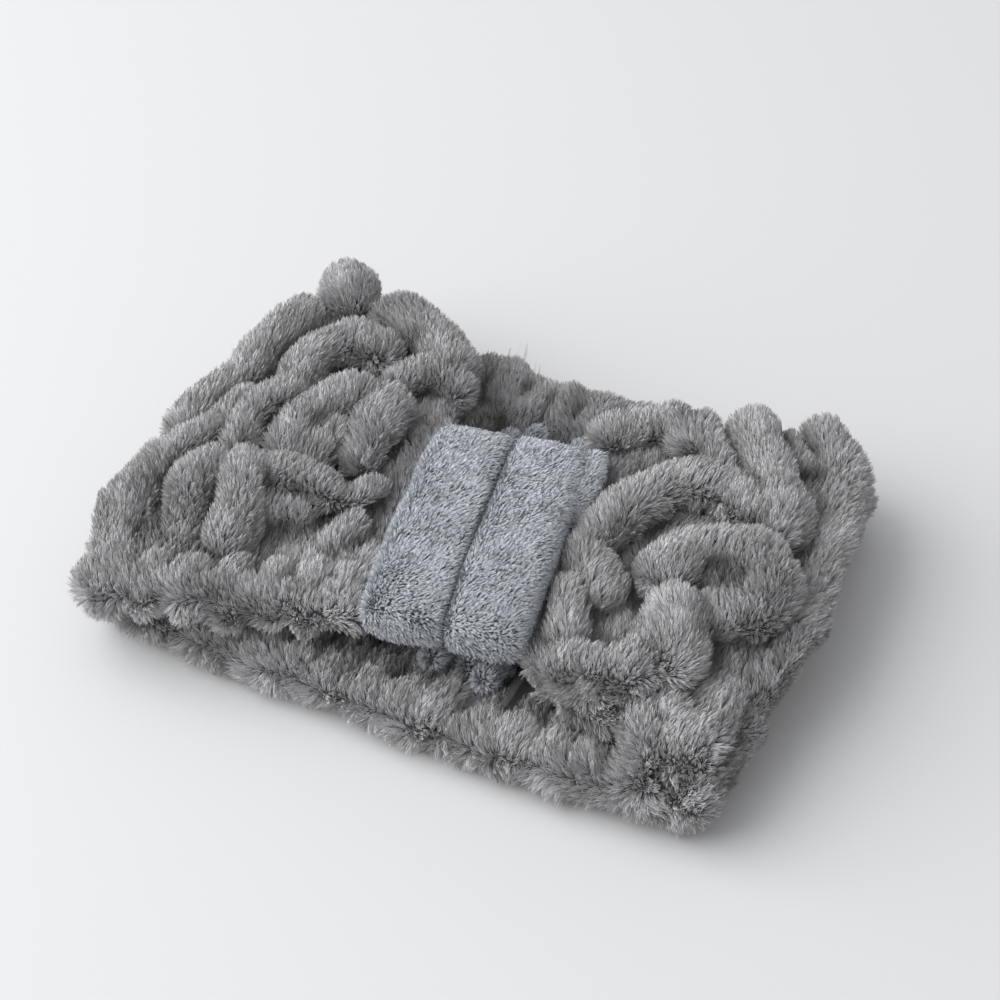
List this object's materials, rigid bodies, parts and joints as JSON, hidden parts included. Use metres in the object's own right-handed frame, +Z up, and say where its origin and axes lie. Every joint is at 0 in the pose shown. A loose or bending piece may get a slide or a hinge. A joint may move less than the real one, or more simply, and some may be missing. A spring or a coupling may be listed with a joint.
{
  "type": "spa headband",
  "caption": "Wide spa headband of gathered loop-pile terry with a plush centre wrap, a closed loop lying flat in two layers; hinged so the loop opens.",
  "frame": {"origin": "middle of the footprint, on the surface that the band lies on", "axes": "+X along the folded band from fold to fold, -Y towards the long edge that is nearer the viewer, +Z up out of the front with the wrap"},
  "size_m": [0.236, 0.168, 0.047],
  "materials": {
    "pile_grey": "mid-grey loop-pile terry, matte, loops about 4 mm long",
    "wrap_plush": "pale blue-grey fine short plush, matte with a soft sheen",
    "elastic": "woven flat elastic, matte off-white",
    "thread": "dark grey sewing thread and elastic thread"
  },
  "bodies": {
    "rear_centre": {"rear_panel_centre": "pile_grey", "rear_lining_centre": "pile_grey", "near_seam_rear_centre": "thread", "far_seam_rear_centre": "thread", "rear_elastic_centre": "elastic", "rear_join_cover": "wrap_plush", "rear_join_seam_near": "thread", "rear_join_seam_far": "thread"},
    "rear_left": {"rear_panel_left": "pile_grey", "rear_lining_left": "pile_grey", "near_seam_rear_left": "thread", "far_seam_rear_left": "thread", "rear_elastic_left": "elastic"},
    "end_left": {"end_panel_left": "pile_grey", "end_lining_left": "pile_grey", "near_seam_end_left": "thread", "far_seam_end_left": "thread"},
    "front_left": {"front_panel_left": "pile_grey", "front_lining_left": "pile_grey", "near_seam_front_left": "thread", "far_seam_front_left": "thread", "shirring_thread_left_1": "thread", "shirring_thread_left_2": "thread", "shirring_thread_left_3": "thread", "shirring_thread_left_4": "thread", "shirring_thread_left_5": "thread"},
    "front_centre": {"front_panel_centre": "pile_grey", "front_lining_centre": "pile_grey", "near_seam_front_centre": "thread", "far_seam_front_centre": "thread", "centre_wrap": "wrap_plush", "wrap_channel_stitch": "thread", "wrap_join_seam": "thread"},
    "front_right": {"front_panel_right": "pile_grey", "front_lining_right": "pile_grey", "near_seam_front_right": "thread", "far_seam_front_right": "thread", "shirring_thread_right_1": "thread", "shirring_thread_right_2": "thread", "shirring_thread_right_3": "thread", "shirring_thread_right_4": "thread", "shirring_thread_right_5": "thread"},
    "end_right": {"end_panel_right": "pile_grey", "end_lining_right": "pile_grey", "near_seam_end_right": "thread", "far_seam_end_right": "thread"},
    "rear_right": {"rear_panel_right": "pile_grey", "rear_lining_right": "pile_grey", "near_seam_rear_right": "thread", "far_seam_rear_right": "thread", "rear_elastic_right": "elastic"}
  },
  "joints": [
    {"name": "loop_open", "type": "hinge", "parent": "rear_centre", "child": "rear_left", "pos_m": [-0.032, 0, 0.018], "axis": [0, 1, 0], "range_deg": [0, 45]},
    {"name": "fold_left_rear", "type": "hinge", "parent": "rear_left", "child": "end_left", "pos_m": [-0.087, 0, 0], "axis": [0, -1, 0], "range_deg": [0, 45]},
    {"name": "fold_left_front", "type": "hinge", "parent": "end_left", "child": "front_left", "pos_m": [-0.087, 0, 0.046], "axis": [0, -1, 0], "range_deg": [0, 45]},
    {"name": "wrap_left", "type": "hinge", "parent": "front_left", "child": "front_centre", "pos_m": [-0.032, 0, 0.028], "axis": [0, 1, 0], "range_deg": [0, 45]},
    {"name": "wrap_right", "type": "hinge", "parent": "front_centre", "child": "front_right", "pos_m": [0.042, 0, 0.028], "axis": [0, 1, 0], "range_deg": [0, 45]},
    {"name": "fold_right_front", "type": "hinge", "parent": "front_right", "child": "end_right", "pos_m": [0.097, 0, 0.046], "axis": [0, -1, 0], "range_deg": [0, 45]},
    {"name": "fold_right_rear", "type": "hinge", "parent": "end_right", "child": "rear_right", "pos_m": [0.097, 0, 0], "axis": [0, -1, 0], "range_deg": [0, 45]}
  ],
  "couplings": [
    {"joint": "fold_left_rear", "follows": "loop_open", "ratio": 1},
    {"joint": "fold_left_front", "follows": "loop_open", "ratio": 1},
    {"joint": "wrap_left", "follows": "loop_open", "ratio": 1},
    {"joint": "wrap_right", "follows": "loop_open", "ratio": 1},
    {"joint": "fold_right_front", "follows": "loop_open", "ratio": 1},
    {"joint": "fold_right_rear", "follows": "loop_open", "ratio": 1}
  ]
}
